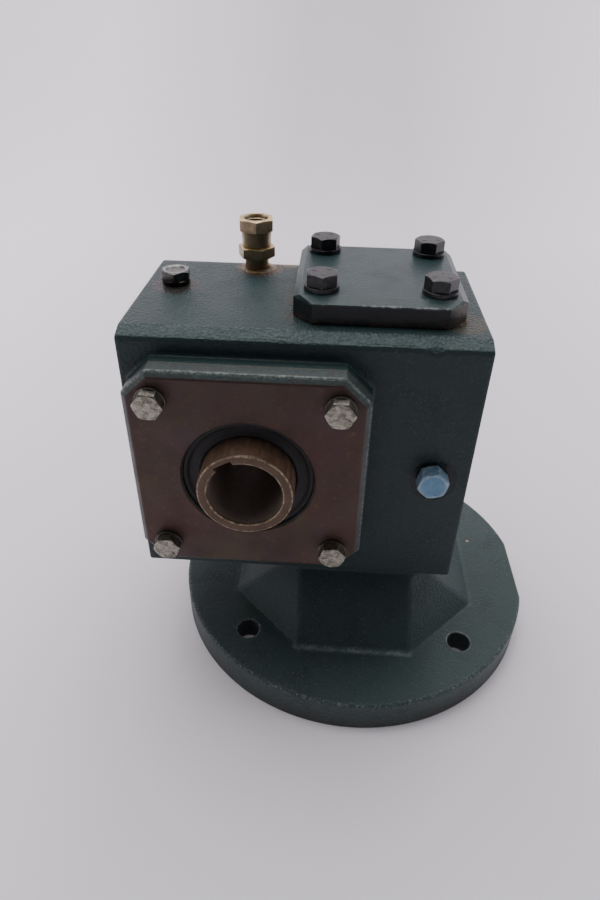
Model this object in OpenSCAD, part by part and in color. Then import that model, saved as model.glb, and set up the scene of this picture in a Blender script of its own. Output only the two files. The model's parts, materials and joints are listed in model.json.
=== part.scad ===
// Right-angle worm gearbox with a hollow output shaft and a hollow (quill) input.
// Frame: origin at the centre of the motor face, X to the right, Y to the back,
// Z up along the worm axis. The output axis runs along Y, to the left of the worm.

/* [Motor flange] */
// Outside diameter of the round motor flange
flange_d = 228.6; // [226:0.2:232]
// Thickness of the flange plate
flange_t = 21.4; // [20:0.1:24]
// Distance from the worm axis to the flat on the flange's right side
flat_x = 111.4; // [110.5:0.1:113]
// Diameter of the register recess that centres the motor
pilot_d = 215.9; // [215.9:0.05:216.2]
// Depth of the register recess
pilot_depth = 6.35; // [5.5:0.05:7]
// Bolt circle of the four motor bolts
bolt_circle = 184.15; // [184:0.05:184.5]
// Diameter of the clearance holes for the motor bolts
bolt_hole_d = 13.5; // [13:0.1:14.5]

/* [Pedestal] */
// Distance from the axis to each wide facet where the pedestal meets the flange
ped_foot = 76.5; // [75:0.5:78]
// Half width of each wide facet
ped_facet = 34; // [33:0.5:35]
// Distance from the axis to each side of the neck
neck_half = 42; // [41:0.5:43]
// Slope of the facets from the horizontal
ped_slope = 42; // [40:1:44]

/* [Gear case] */
// Left outer face of the case
case_left = -123.2; // [-125:0.1:-122.5]
// Right outer face of the case
case_right = 52.3; // [52:0.1:54]
// Front outer face of the case
case_front = -58.5; // [-59:0.1:-58]
// Rear outer face of the case
case_back = 46; // [45.5:0.1:47]
// Underside of the case
case_bottom = 71; // [70.5:0.1:71.5]
// Top of the case
case_top = 217.4; // [217:0.1:218]
// Wall thickness of the case
wall = 8.2; // [7.5:0.1:8.6]
// Half side of the square bosses that carry the output covers
boss_half = 58.5; // [58:0.1:58.8]
// Corner chamfer of the bosses and output covers
boss_cut = 12.5; // [11.5:0.1:13]
// Width of the bevel round the outer face of each output cover
cover_bevel = 3; // [2:0.1:3.2]
// Height of the bosses above the case
boss_t = 6.8; // [6.5:0.1:7]

/* [Gearing] */
// Distance between the worm axis and the output axis
centre_distance = 60.3; // [60.3:0.1:60.3]
// Height of the output axis above the motor face
out_z = 147.2; // [146.8:0.1:147.6]
// Axial module of the worm and wheel
gear_module = 3; // [3:0.1:3]
// Teeth on the wheel, with a single-start worm
teeth = 30; // [30:1:30]
// Face width of the wheel rim
face_w = 26; // [22:1:26]
// Flank clearance left on each side of the thread
backlash = 0.14; // [0.12:0.01:0.2]

/* [Shafts] */
// Bore of the hollow output shaft
out_bore_d = 36.53; // [36.5:0.01:36.6]
// Outside diameter of the output shaft where it leaves the covers
out_shaft_d = 47.63; // [47.5:0.01:47.7]
// Width of the keyway in the output bore
out_key_w = 9.53; // [9:0.01:9.6]
// Distance from the output axis to the floor of that keyway
out_key_r = 20.6; // [20:0.1:21.9]
// Turn of that keyway from straight up, towards the left
out_key_turn = 30; // [20:1:45]
// Bore of the hollow input shaft
in_bore_d = 28.6; // [28.58:0.01:28.65]
// Outside diameter of the input shaft
in_shaft_d = 40; // [40:0.1:40]
// Width of the keyway in the input bore
in_key_w = 6.35; // [6.35:0.05:6.4]

/* [Fasteners and fittings] */
// Across-flats size of the cover screws
screw_af = 12.7; // [12.5:0.1:13]
// Across-flats size of the two pipe plugs
plug_af = 14.3; // [14:0.1:14.6]
// Across-flats size of the top cover screws
top_af = 14.3; // [14:0.1:14.5]
// Half spacing of the output cover screws
cover_screw = 43.9; // [43.5:0.1:44.2]
// Half spacing of the top cover screws
top_screw = 28.3; // [28:0.1:28.6]
// Height of the top cover's outer edge above the case
top_edge = 10.2; // [9.5:0.1:10.6]
// Height of the top cover's flat above the case
top_t = 12.2; // [11.8:0.1:12.6]

/* [Hidden] */
out_x = -centre_distance;
ax = [out_x, 0, out_z];
gasket = 0.5;
roof_t = 10;
in_front = case_front + 8.5;
in_back = case_back - 8.5;
boss_front = case_front - boss_t;
boss_back = case_back + boss_t;
plate_t = 9.9;
cover_front = boss_front - gasket - plate_t;
cover_back = boss_back + gasket + plate_t;
spigot_r = 49.5;
seal_r = 33;
out_bear = [25, 40, 16, 4.6, 13];
low_bear = [20, 34, 15, 3.9, 12];
top_bear = [15, 31, 16, 4.7, 9];
fb_y = -54.5;
rb_y = 42;
lb_z = 90.5;
tb_z = 204;
shaft_front = cover_front - 12;
shaft_back = cover_back + 12;
ped_top = flange_t + (ped_foot - neck_half) * tan(ped_slope);
neck_top = case_bottom - gasket;
neck_cut = 6.4;
out_r = out_shaft_d / 2;
worm_r = centre_distance - gear_module * teeth / 2;
tip_r = worm_r + gear_module;
core_r = worm_r - 1.33 * gear_module;
pitch = PI * gear_module;
lead_angle = atan(pitch / (2 * PI * worm_r));
wheel_r = gear_module * teeth / 2;
wheel_tip = wheel_r + gear_module;
base_r = wheel_r * cos(20);
corners = [[-1, -1], [1, -1], [1, 1], [-1, 1]];
level_at = [32.8, case_front, 142.8];
fill_at = [-107.1, 4.3, case_top];
vent_at = [-66.7, 31.5, case_top];
function top_turn(c) = c[1] < 0 ? (c[0] < 0 ? 32 : -9) : (c[0] < 0 ? 16 : -10);

// Outline of a rectangle with its four corners cut at 45 degrees
module cut_rect(hx, hy, c) {
  polygon([[hx - c, -hy], [hx, -hy + c], [hx, hy - c], [hx - c, hy],
    [-hx + c, hy], [-hx, hy - c], [-hx, -hy + c], [-hx + c, -hy]]);
}
// Turn a shape drawn round Z so that its axis lies along Y
module to_y() { rotate([-90, 0, 0]) children(); }
module cyl_y(r, y0, y1) { translate([0, y0, 0]) to_y() cylinder(r = r, h = y1 - y0); }
// Flat plate standing across Y, from y0 to y1
module plate_y(y0, y1) { translate([0, y1, 0]) rotate([90, 0, 0]) linear_extrude(y1 - y0) children(); }
module tube(ro, ri, h) {
  difference() {
    cylinder(r = ro, h = h);
    translate([0, 0, -1]) cylinder(r = ri, h = h + 2);
  }
}
// Hexagon-head screw: the head stands on z = 0, the shank runs down
module hex_screw(af, head_h, shank_r, shank_l) {
  intersection() {
    cylinder(r = af / 2 / cos(30), h = head_h, $fn = 6);
    union() {
      cylinder(r = af, h = head_h - 1.2);
      translate([0, 0, head_h - 1.2]) cylinder(r1 = af * 0.62, r2 = af * 0.47, h = 1.2);
    }
  }
  translate([0, 0, -shank_l]) cylinder(r = shank_r, h = shank_l + 0.5);
}
// Ball bearing parts, centred on z = 0; b = [bore radius, outer radius, width, ball radius, balls]
function bear_pitch(b) = (b[0] + b[1]) / 2;
module race_outer(b) {
  rotate_extrude() difference() {
    translate([bear_pitch(b) + b[3] * 0.55, -b[2] / 2]) square([b[1] - bear_pitch(b) - b[3] * 0.55, b[2]]);
    translate([bear_pitch(b), 0]) circle(r = b[3] + 0.08);
  }
}
module race_inner(b) {
  rotate_extrude() difference() {
    translate([b[0], -b[2] / 2]) square([bear_pitch(b) - b[3] * 0.55 - b[0], b[2]]);
    translate([bear_pitch(b), 0]) circle(r = b[3] + 0.03);
  }
}
module ball_row(b) {
  rotate_extrude() translate([bear_pitch(b) - 1.4, -b[3] * 0.5]) square([2.8, b[3]]);
  for (i = [0:b[4] - 1])
    rotate([0, 0, (i + 0.37) * 360 / b[4]]) translate([bear_pitch(b), 0, 0]) sphere(r = b[3]);
}
// Lip seal standing on z = 0: a stiff outer ring, a web and an inner lip
module lip_seal(ro, ri, w) {
  rotate_extrude() polygon([[ro, 0], [ro, w], [ro - 2.2, w], [ro - 2.2, 2.4], [ri + 3.2, 2.4],
    [ri + 2.6, w - 1.6], [ri + 0.9, w - 1.2], [ri, w * 0.55], [ri + 1.8, 0.6], [ri + 2.4, 0]]);
}

/* ---- fixed castings ---- */
// Outline of the case seen from the side, with its two long top edges bevelled
module case_profile() {
  polygon([[case_front, case_bottom], [case_front, case_top - 4.2], [case_front + 1.1, case_top - 2.4],
    [case_front + 7.6, case_top], [case_back - 7.6, case_top], [case_back - 1.1, case_top - 2.4],
    [case_back, case_top - 4.2], [case_back, case_bottom]]);
}
module gear_case() color([0.22, 0.33, 0.34]) difference() {
  union() {
    translate([case_left, 0, 0]) rotate([90, 0, 90]) linear_extrude(case_right - case_left) case_profile();
    translate(ax) plate_y(boss_front, case_front + 1) cut_rect(boss_half, boss_half, boss_cut);
    translate(ax) plate_y(case_back - 1, boss_back) cut_rect(boss_half, boss_half, boss_cut);
  }
  difference() {
    translate([case_left + wall, in_front, case_bottom + 10])
      cube([case_right - case_left - 2 * wall, in_back - in_front, case_top - case_bottom - 10 - roof_t]);
    translate([0, 0, case_bottom]) cylinder(r = 42.6, h = lb_z + low_bear[2] / 2 - case_bottom + 0.5);
    translate([0, 0, tb_z - top_bear[2] / 2 - 2]) cylinder(r = 38, h = 40);
  }
  translate(ax) cyl_y(spigot_r, boss_front - 1, in_front + 1);
  translate(ax) cyl_y(spigot_r, in_back - 1, boss_back + 1);
  translate([0, 0, case_bottom - 1]) cylinder(r = 30, h = 60);
  translate([0, 0, lb_z - low_bear[2] / 2]) cylinder(r = low_bear[1], h = 40);
  translate([0, 0, tb_z - top_bear[2] / 2 - 4]) cylinder(r = top_bear[1], h = 60);
  for (c = corners) {
    translate(ax + [c[0] * cover_screw, 0, c[1] * cover_screw]) cyl_y(4, boss_front - 1, boss_front + 14);
    translate(ax + [c[0] * cover_screw, 0, c[1] * cover_screw]) cyl_y(4, boss_back - 14, boss_back + 1);
    translate([c[0] * top_screw, c[1] * top_screw, case_top - 9.5]) cylinder(r = 4.76, h = 12);
    translate([c[0] * top_screw, c[1] * top_screw, case_bottom - 1]) cylinder(r = 4, h = 10.8);
  }
  translate([level_at[0], 0, level_at[2]]) cyl_y(6.85, case_front - 1, in_front + 1);
  translate(fill_at - [0, 0, roof_t + 1]) cylinder(r = 6.85, h = 20);
  translate(vent_at - [0, 0, roof_t + 1]) cylinder(r = 6.62, h = 20);
}
// Pedestal between flange and neck: four wide facets, four narrowing corner facets
module pedestal() {
  in = neck_half - 3;
  h = (ped_foot - in) * tan(ped_slope);
  foot = (ped_facet + ped_foot) / sqrt(2);
  top = (ped_facet + in) / sqrt(2);
  intersection() {
    for_prism(ped_foot, in, h, 0);
    for_prism(ped_foot, in, h, 90);
    for_prism(foot, top, h, 45);
    for_prism(foot, top, h, 135);
  }
}
module for_prism(a, b, h, turn) {
  translate([0, 0, flange_t]) rotate([0, 0, turn]) rotate([90, 0, 0])
    linear_extrude(200, center = true)
      polygon([[-a - 2, -2 * h / (a - b)], [a + 2, -2 * h / (a - b)], [b, h], [-b, h]]);
}
module motor_adapter() color([0.24, 0.36, 0.37]) difference() {
  union() {
    intersection() {
      cylinder(r = flange_d / 2, h = flange_t);
      translate([-150, -150, -1]) cube([150 + flat_x, 300, flange_t + 2]);
    }
    pedestal();
    translate([0, 0, ped_top - 4]) linear_extrude(neck_top - ped_top + 4)
      cut_rect(neck_half, neck_half, neck_cut);
    translate([0, 0, neck_top - 3]) cylinder(r = 29.95, h = 7);
  }
  rotate_extrude() polygon([[0, -1], [pilot_d / 2, -1], [pilot_d / 2, pilot_depth], [64, pilot_depth],
    [64, 18], [36, 46], [36, 54], [31, 54], [31, neck_top - 4.5], [26, neck_top - 4.5], [26, 80], [0, 80]]);
  for (c = corners) {
    translate([c[0] * top_screw, c[1] * top_screw, 25]) cylinder(r = 7.2, h = 33);
    translate([c[0] * top_screw, c[1] * top_screw, 50]) cylinder(r = 4.25, h = 40);
  }
  for (i = [0:3]) rotate([0, 0, 45 + 90 * i]) translate([bolt_circle / 2, 0, -1])
    cylinder(r = bolt_hole_d / 2, h = flange_t + 2);
}
module adapter_gasket() color([0.25, 0.2, 0.16]) translate([0, 0, neck_top]) linear_extrude(gasket)
  difference() {
    cut_rect(neck_half, neck_half, neck_cut);
    circle(r = 30.2);
    for (c = corners) translate([c[0] * top_screw, c[1] * top_screw]) circle(r = 4.25);
  }
module adapter_screws() color([0.12, 0.12, 0.13])
  for (c = corners) translate([c[0] * top_screw, c[1] * top_screw, 49.6]) difference() {
    union() {
      cylinder(r = 6, h = 8.4);
      cylinder(r = 3.98, h = 31);
    }
    translate([0, 0, -1]) cylinder(r = 3.6, h = 5, $fn = 6);
  }

/* ---- output covers ---- */
// Square plate with cut corners and a bevel all round its outer face
module cover_plate(face, boss) hull() {
  plate_y(face + cover_bevel, boss) cut_rect(boss_half, boss_half, boss_cut);
  plate_y(face, boss) cut_rect(boss_half - cover_bevel, boss_half - cover_bevel,
    boss_cut - (2 - sqrt(2)) * cover_bevel);
}
// side = 1 for the front, -1 for the rear: plate, spigot, bearing seat and seal seat
module output_cover(face, boss, bear, lip, turn) translate(ax) rotate([0, 0, turn]) difference() {
  union() {
    cover_plate(face, boss);
    cyl_y(spigot_r - 0.03, boss - 1, lip);
  }
  cyl_y(seal_r, face - 1, bear - out_bear[2] / 2 - 2);
  cyl_y(29, face - 1, lip + 1);
  cyl_y(out_bear[1], bear - out_bear[2] / 2, lip + 1);
  for (c = corners) translate([c[0] * cover_screw, 0, c[1] * cover_screw]) cyl_y(4.3, face - 1, boss + 1);
}
module front_cover() color([0.42, 0.33, 0.3])
  output_cover(cover_front, boss_front - gasket, fb_y, -48, 0);
module rear_cover() color([0.4, 0.34, 0.31])
  output_cover(-cover_back, -boss_back - gasket, -rb_y, -34.6, 180);
module cover_gasket(y0) translate(ax) plate_y(y0, y0 + gasket) difference() {
  cut_rect(boss_half, boss_half, boss_cut);
  circle(r = spigot_r + 0.1);
  for (c = corners) translate(c * cover_screw) circle(r = 4.3);
}
module front_cover_gasket() color([0.3, 0.25, 0.2]) cover_gasket(boss_front - gasket);
module rear_cover_gasket() color([0.3, 0.25, 0.2]) cover_gasket(boss_back);
module cover_screw_set(face, turn) translate(ax) rotate([0, 0, turn])
  for (c = corners) translate([c[0] * cover_screw, face - 1.5, c[1] * cover_screw])
    rotate([90, 0, 0]) rotate([0, 0, 3 + 2.5 * c[0] - 5 * c[1]]) hex_screw(screw_af, 5.3, 3.96, 24.5);
module cover_washer_set(face, turn) translate(ax) rotate([0, 0, turn])
  for (c = corners) translate([c[0] * cover_screw, face, c[1] * cover_screw]) rotate([90, 0, 0])
    tube(7.4, 4.1, 1.5);
module front_cover_screws() color("silver") cover_screw_set(cover_front, 0);
module rear_cover_screws() color("silver") cover_screw_set(-cover_back, 180);
module front_cover_washers() color("gray") cover_washer_set(cover_front, 0);
module rear_cover_washers() color("gray") cover_washer_set(-cover_back, 180);

/* ---- top cover ---- */
// Plate with a shallow bevel all round its top, up to the flat that the screws sit on
module bevel_prism(half, crease, turn) {
  rotate([0, 0, turn]) rotate([90, 0, 0]) linear_extrude(200, center = true)
    polygon([[-half, case_top + gasket], [half, case_top + gasket], [half, case_top + top_edge],
      [crease, case_top + top_t], [-crease, case_top + top_t], [-half, case_top + top_edge]]);
}
module top_cover() color([0.3, 0.42, 0.44]) difference() {
  union() {
    intersection() {
      translate([0, 0, case_top]) linear_extrude(40) cut_rect(41.5, 43.4, 9.5);
      bevel_prism(41.5, 38.2, 0);
      bevel_prism(43.4, 36.8, 90);
    }
    translate([0, 0, tb_z + top_bear[2] / 2]) cylinder(r = top_bear[1] - 0.05, h = 7);
  }
  translate([0, 0, tb_z]) cylinder(r = 26, h = 16);
  for (c = corners) translate([c[0] * top_screw, c[1] * top_screw, case_top - 1]) cylinder(r = 5, h = 20);
}
module top_cover_gasket() color([0.3, 0.25, 0.2]) translate([0, 0, case_top]) linear_extrude(gasket)
  difference() {
    cut_rect(41.5, 38.3, 6.5);
    circle(r = top_bear[1] + 0.2);
    for (c = corners) translate(c * top_screw) circle(r = 5);
  }
module top_cover_screws() color([0.1, 0.1, 0.11])
  for (c = corners) translate([c[0] * top_screw, c[1] * top_screw, case_top + top_t + 2.4])
    rotate([0, 0, top_turn(c)]) hex_screw(top_af, 6, 4.74, 23);
// Split spring washers
module top_cover_washers() color([0.16, 0.16, 0.17])
  for (c = corners) translate([c[0] * top_screw, c[1] * top_screw, case_top + top_t]) difference() {
    tube(8.6, 4.9, 2.4);
    rotate([0, 0, 70 + 95 * c[0] + 30 * c[1]]) rotate([25, 0, 0]) translate([3, -0.6, -2]) cube([8, 1.2, 7]);
  }

/* ---- seals and bearings ---- */
module front_shaft_seal() color([0.08, 0.08, 0.08])
  translate(ax) translate([0, cover_front + 2.2, 0]) to_y()
    lip_seal(seal_r, out_r + 0.05, fb_y - out_bear[2] / 2 - 2 - cover_front - 2.2);
module rear_shaft_seal() color([0.08, 0.08, 0.08])
  translate(ax) rotate([0, 0, 180]) translate([0, -cover_back + 2.2, 0]) to_y()
    lip_seal(seal_r, out_r + 0.05, 8);
module input_shaft_seal() color([0.08, 0.08, 0.08])
  translate([0, 0, neck_top - 12]) lip_seal(31, in_shaft_d / 2 + 0.05, 7.5);
module at_front() { translate([out_x, fb_y, out_z]) to_y() children(); }
module at_rear() { translate([out_x, rb_y, out_z]) to_y() children(); }
module front_bearing_outer() color("silver") at_front() race_outer(out_bear);
module front_bearing_inner() color("silver") at_front() race_inner(out_bear);
module front_bearing_balls() color("gainsboro") at_front() ball_row(out_bear);
module rear_bearing_outer() color("silver") at_rear() race_outer(out_bear);
module rear_bearing_inner() color("silver") at_rear() race_inner(out_bear);
module rear_bearing_balls() color("gainsboro") at_rear() ball_row(out_bear);
module lower_bearing_outer() color("silver") translate([0, 0, lb_z]) race_outer(low_bear);
module lower_bearing_inner() color("silver") translate([0, 0, lb_z]) race_inner(low_bear);
module lower_bearing_balls() color("gainsboro") translate([0, 0, lb_z]) ball_row(low_bear);
module upper_bearing_outer() color("silver") translate([0, 0, tb_z]) race_outer(top_bear);
module upper_bearing_inner() color("silver") translate([0, 0, tb_z]) race_inner(top_bear);
module upper_bearing_balls() color("gainsboro") translate([0, 0, tb_z]) ball_row(top_bear);

/* ---- output shaft and wheel ---- */
module output_shaft() color([0.45, 0.33, 0.24]) translate(ax) difference() {
  union() {
    cyl_y(out_r, shaft_front, shaft_back);
    cyl_y(out_bear[0], fb_y - out_bear[2] / 2, rb_y + out_bear[2] / 2);
  }
  cyl_y(out_bore_d / 2, shaft_front - 1, shaft_back + 1);
  rotate([0, -out_key_turn, 0]) translate([-out_key_w / 2, shaft_front - 1, 10])
    cube([out_key_w, shaft_back - shaft_front + 2, out_key_r - 10]);
  rotate([0, 180 - out_key_turn, 0]) translate([-5, -18, 22.2]) cube([10, 36, 6]);
}
module wheel_key() color([0.5, 0.5, 0.52]) translate(ax) rotate([0, 180 - out_key_turn, 0])
  translate([-4.99, -17.9, 22.25]) cube([9.98, 35.8, 5.5]);
module wheel_hub() color([0.35, 0.35, 0.36]) translate(ax) difference() {
  union() {
    cyl_y(33, -20, 20);
    cyl_y(36, -face_w / 2, face_w / 2);
  }
  cyl_y(out_bear[0], -21, 21);
  rotate([0, 180 - out_key_turn, 0]) translate([-5, -21, 20]) cube([10, 42, 7.85]);
  for (i = [0:5]) rotate([0, 60 * i, 0]) translate([36, 0, 0]) cyl_y(2.5, -face_w / 2 - 1, -face_w / 2 + 12);
}
module rim_lock_screws() color([0.12, 0.12, 0.13]) translate(ax)
  for (i = [0:5]) rotate([0, 60 * i, 0]) translate([36, 0, 0]) difference() {
    cyl_y(2.49, -face_w / 2 + 0.2, -face_w / 2 + 11.8);
    translate([0, -face_w / 2 - 1, 0]) to_y() cylinder(r = 1.3, h = 4, $fn = 6);
  }
function inv_deg(a) = tan(a) * 180 / PI - a;
// Half angle of a tooth gap at radius r, for involute flanks of 20 degrees
function gap_half(r) = 180 / teeth / 2 - inv_deg(20) + (r > base_r ? inv_deg(acos(base_r / r)) : 0)
  + backlash / wheel_r * 180 / PI;
gap_radii = [wheel_r - 1.27 * gear_module, base_r, base_r + 1, wheel_r - 0.8, wheel_r + 0.8,
  wheel_r + 2.2, wheel_r + 3.6, wheel_r + 6];
module tooth_gap() {
  polygon(concat([for (r = gap_radii) r * [cos(gap_half(r)), sin(gap_half(r))]],
    [for (i = [len(gap_radii) - 1:-1:0]) let(r = gap_radii[i]) r * [cos(gap_half(r)), -sin(gap_half(r))]]));
}
// Bronze rim: a throated ring with slanted gaps cut through it
module wheel_rim() color([0.72, 0.5, 0.22]) translate(ax) difference() {
  to_y() rotate_extrude() difference() {
    polygon([[36.02, -face_w / 2], [wheel_tip - 1, -face_w / 2], [wheel_tip + 0.8, -face_w / 2 + 1.8],
      [wheel_tip + 0.8, face_w / 2 - 1.8], [wheel_tip - 1, face_w / 2], [36.02, face_w / 2]]);
    translate([centre_distance, 0]) circle(r = centre_distance - wheel_tip);
  }
  for (i = [0:teeth - 1]) rotate([0, i * 360 / teeth, 0]) rotate([-lead_angle, 0, 0])
    rotate([90, 0, 0]) linear_extrude(face_w + 8, center = true) tooth_gap();
  for (i = [0:5]) rotate([0, 60 * i, 0]) translate([36, 0, 0]) cyl_y(2.5, -face_w / 2 - 1, -face_w / 2 + 12);
}
module front_spacer() color("gray") translate([out_x, fb_y + out_bear[2] / 2, out_z]) to_y()
  tube(28.5, out_bear[0] + 0.01, -20 - fb_y - out_bear[2] / 2);
module rear_spacer() color("gray") translate([out_x, 20, out_z]) to_y()
  tube(28.5, out_bear[0] + 0.01, rb_y - out_bear[2] / 2 - 20);

/* ---- worm ---- */
turns = 2.75;
steps = 36;
thread_n = 2 * turns * steps;
// Half width of the thread at radius r from the worm axis
function thread_half(r) = pitch / 4 - (r - worm_r) * tan(20) - backlash;
function thread_top(i) = core_r + (tip_r - core_r) * min(1, 0.03 + min(i, thread_n - i) / (steps * 0.5));
function thread_ring(i) = let(a = 180 + (i - thread_n / 2) * 360 / steps,
    z = out_z + pitch * (i - thread_n / 2) / steps, r0 = core_r - 0.6, r1 = thread_top(i),
    h0 = thread_half(r0), h1 = thread_half(r1))
  [[r0 * cos(a), r0 * sin(a), z - h0], [r1 * cos(a), r1 * sin(a), z - h1],
   [r1 * cos(a), r1 * sin(a), z + h1], [r0 * cos(a), r0 * sin(a), z + h0]];
module worm_thread() {
  pts = [for (i = [0:thread_n]) for (p = thread_ring(i)) p];
  sides = [for (i = [0:thread_n - 1]) for (j = [0:3]) let(a = 4 * i + j, b = 4 * i + (j + 1) % 4)
    each [[a, b, b + 4], [a, b + 4, a + 4]]];
  e = 4 * thread_n;
  polyhedron(points = pts, faces = concat(sides, [[3, 2, 1, 0]], [[e, e + 1, e + 2, e + 3]]));
}
module worm_shaft() color([0.55, 0.56, 0.58]) difference() {
  union() {
    rotate_extrude() polygon([[0, 9], [in_shaft_d / 2 - 1, 9], [in_shaft_d / 2, 10], [in_shaft_d / 2, 98],
      [23, 98], [23, 105], [core_r, 116], [core_r, 178], [18, 185], [18, 196], [15, 196],
      [15, 215], [0, 215]]);
    worm_thread();
  }
  translate([0, 0, 8]) cylinder(r = in_bore_d / 2, h = 72);
  translate([10, -in_key_w / 2, 8]) cube([7.25, in_key_w, 71]);
  translate([0, 0, 212.1]) tube(20, 14, 1.5);
}
module worm_retaining_ring() color([0.15, 0.15, 0.16]) translate([0, 0, 212.12]) difference() {
  tube(18, 14.02, 1.4);
  translate([0, 0, -1]) rotate([0, 0, 60]) translate([8, -3, 0]) cube([14, 6, 4]);
}

/* ---- plugs and vent ---- */
module level_plug() color([0.45, 0.68, 0.85]) translate(level_at) rotate([90, 0, 0])
  rotate([0, 0, 15]) translate([0, 0, 1]) hex_screw(plug_af, 8, 6.84, 9);
module fill_plug() color("silver") translate(fill_at) difference() {
  union() {
    translate([0, 0, 2.3]) rotate([0, 0, 37]) hex_screw(plug_af, 5, 6.84, 11.3);
    cylinder(r = 7.4, h = 2.6);
  }
  translate([0, 0, 6.5]) cylinder(r1 = 4.4, r2 = 5.4, h = 1);
}
module vent_bushing() color([0.42, 0.31, 0.17]) translate(vent_at) difference() {
  union() {
    translate([0, 0, -9]) cylinder(r = 6.6, h = 17);
    translate([0, 0, 6.9]) rotate([0, 0, -7]) cylinder(r = 18.2 / 2 / cos(30), h = 6, $fn = 6);
    translate([0, 0, 10]) cylinder(r = 6.35, h = 7);
  }
  translate([0, 0, -10]) cylinder(r = 4, h = 40);
}
module vent_coupling() color([0.48, 0.36, 0.2]) translate(vent_at + [0, 0, 12.9]) difference() {
  union() {
    cylinder(r1 = 7.9, r2 = 8.3, h = 8.8);
    translate([0, 0, 8.5]) intersection() {
      rotate([0, 0, -22.8]) cylinder(r = 17.9 / 2 / cos(30), h = 6.6, $fn = 6);
      union() {
        cylinder(r = 20, h = 5.7);
        translate([0, 0, 5.7]) cylinder(r1 = 10.6, r2 = 8.7, h = 0.9);
      }
    }
  }
  translate([0, 0, -1]) cylinder(r = 6.4, h = 5.3);
  translate([0, 0, 3]) cylinder(r = 6, h = 20);
}

gear_case();
motor_adapter();
adapter_gasket();
adapter_screws();
front_cover();
front_cover_gasket();
front_cover_screws();
front_cover_washers();
rear_cover();
rear_cover_gasket();
rear_cover_screws();
rear_cover_washers();
top_cover();
top_cover_gasket();
top_cover_screws();
top_cover_washers();
front_shaft_seal();
rear_shaft_seal();
input_shaft_seal();
front_bearing_outer();
front_bearing_inner();
front_bearing_balls();
rear_bearing_outer();
rear_bearing_inner();
rear_bearing_balls();
output_shaft();
wheel_hub();
wheel_rim();
wheel_key();
rim_lock_screws();
front_spacer();
rear_spacer();
worm_shaft();
lower_bearing_outer();
lower_bearing_inner();
lower_bearing_balls();
upper_bearing_outer();
upper_bearing_inner();
upper_bearing_balls();
worm_retaining_ring();
level_plug();
fill_plug();
vent_bushing();
vent_coupling();
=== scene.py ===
import json
import math
import bmesh
import bpy
from mathutils import Matrix, Vector


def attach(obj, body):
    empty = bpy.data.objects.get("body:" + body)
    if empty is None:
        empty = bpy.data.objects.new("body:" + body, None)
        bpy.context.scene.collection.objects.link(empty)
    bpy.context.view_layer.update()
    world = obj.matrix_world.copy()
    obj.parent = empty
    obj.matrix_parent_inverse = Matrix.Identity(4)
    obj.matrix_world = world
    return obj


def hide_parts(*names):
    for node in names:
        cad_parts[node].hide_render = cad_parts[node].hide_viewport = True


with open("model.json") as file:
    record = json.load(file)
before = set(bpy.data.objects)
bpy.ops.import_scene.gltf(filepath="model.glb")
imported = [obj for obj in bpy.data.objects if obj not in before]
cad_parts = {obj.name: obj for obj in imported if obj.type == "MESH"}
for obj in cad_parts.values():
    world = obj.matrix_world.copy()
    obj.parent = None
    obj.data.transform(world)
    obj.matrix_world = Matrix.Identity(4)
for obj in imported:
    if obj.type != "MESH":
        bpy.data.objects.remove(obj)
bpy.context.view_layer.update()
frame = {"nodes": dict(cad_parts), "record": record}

scene = bpy.context.scene
MM = 0.001

# ---------------------------------------------------------------- places, in millimetres
OUT_X, OUT_Z = -60.3, 147.2                 # output axis
CASE = dict(left=-123.2, right=52.3, front=-58.5, back=46.0, bottom=71.0, top=217.4)
BOSS, BOSS_CUT, BOSS_T = 58.5, 12.5, 6.8    # half width, corner cut and height of the square bosses
FRONT_FACE, REAR_FACE = -75.7, 63.2         # outer faces of the output covers
COVER_BEVEL, COVER_BORE = 3.0, 49.5         # chamfer of the covers, radius of the openings they close
GASKET = 0.5
SCREW = 43.9                                # cover screws: distance from the output axis, both ways
COVER_WASHER = 1.5                          # thickness, as of the split washer below
SHAFT_R, SHAFT_BORE = 23.815, 18.265        # radii
SHAFT_FRONT, SHAFT_BACK = FRONT_FACE - 12.0, REAR_FACE + 12.0
KEY_WIDTH, KEY_TURN = 9.53, math.radians(30)
TOP_FLAT, TOP_EDGE = 229.6, 227.6           # top cover: flat face and the foot of its slopes
TOP_SCREW = 28.3                            # top cover screws: distance from the input axis, both ways
SPLIT_WASHER = 2.4
SCREW_TURNS = {(-1, -1): 32, (1, -1): -9, (-1, 1): 16, (1, 1): -10}    # top cover screws' heads, in degrees
LEVEL = (32.8, CASE["front"], 142.8)        # seats of the two plugs and the vent
FILL = (-107.1, 4.3, CASE["top"])
VENT = (-66.7, 31.5, CASE["top"])
FLANGE_R, FLANGE_T, FLAT_X = 114.29, 21.4, 111.4       # motor flange, with the flat on its right edge
BOLT_AT = 184.15 / 2 / math.sqrt(2)         # bolt holes: distance from the input axis, both ways
CHIP = (84, 25.5, FLANGE_T)                 # chipped paint on the flange
PED_FOOT, PED_TOP_HALF = 76.5, 39.0         # pedestal's half width at its foot and at its top
PED_FACET = 34.0                            # half width of its four sloping sides
PED_SLOPE = math.tan(math.radians(42))
NECK, NECK_CUT, NECK_TOP = 42.0, 6.4, 70.5  # square neck: half width, corner cut, top
CORNERS = [(-1, -1), (1, -1), (1, 1), (-1, 1)]
CUT_GROWTH = 2 - math.sqrt(2)               # how a 45 degree corner cut grows as its outline is offset


# ---------------------------------------------------------------- mesh helpers
def off(p, x=0.0, y=0.0, z=0.0):
    """Point p moved by x, y and z."""
    return (p[0] + x, p[1] + y, p[2] + z)


def place(u, v, w, axis):
    return {"z": (u, v, w), "y": (u, w, v), "x": (w, u, v)}[axis]


def add(name, me):
    ob = bpy.data.objects.new(name, me)
    scene.collection.objects.link(ob)
    return ob


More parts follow.
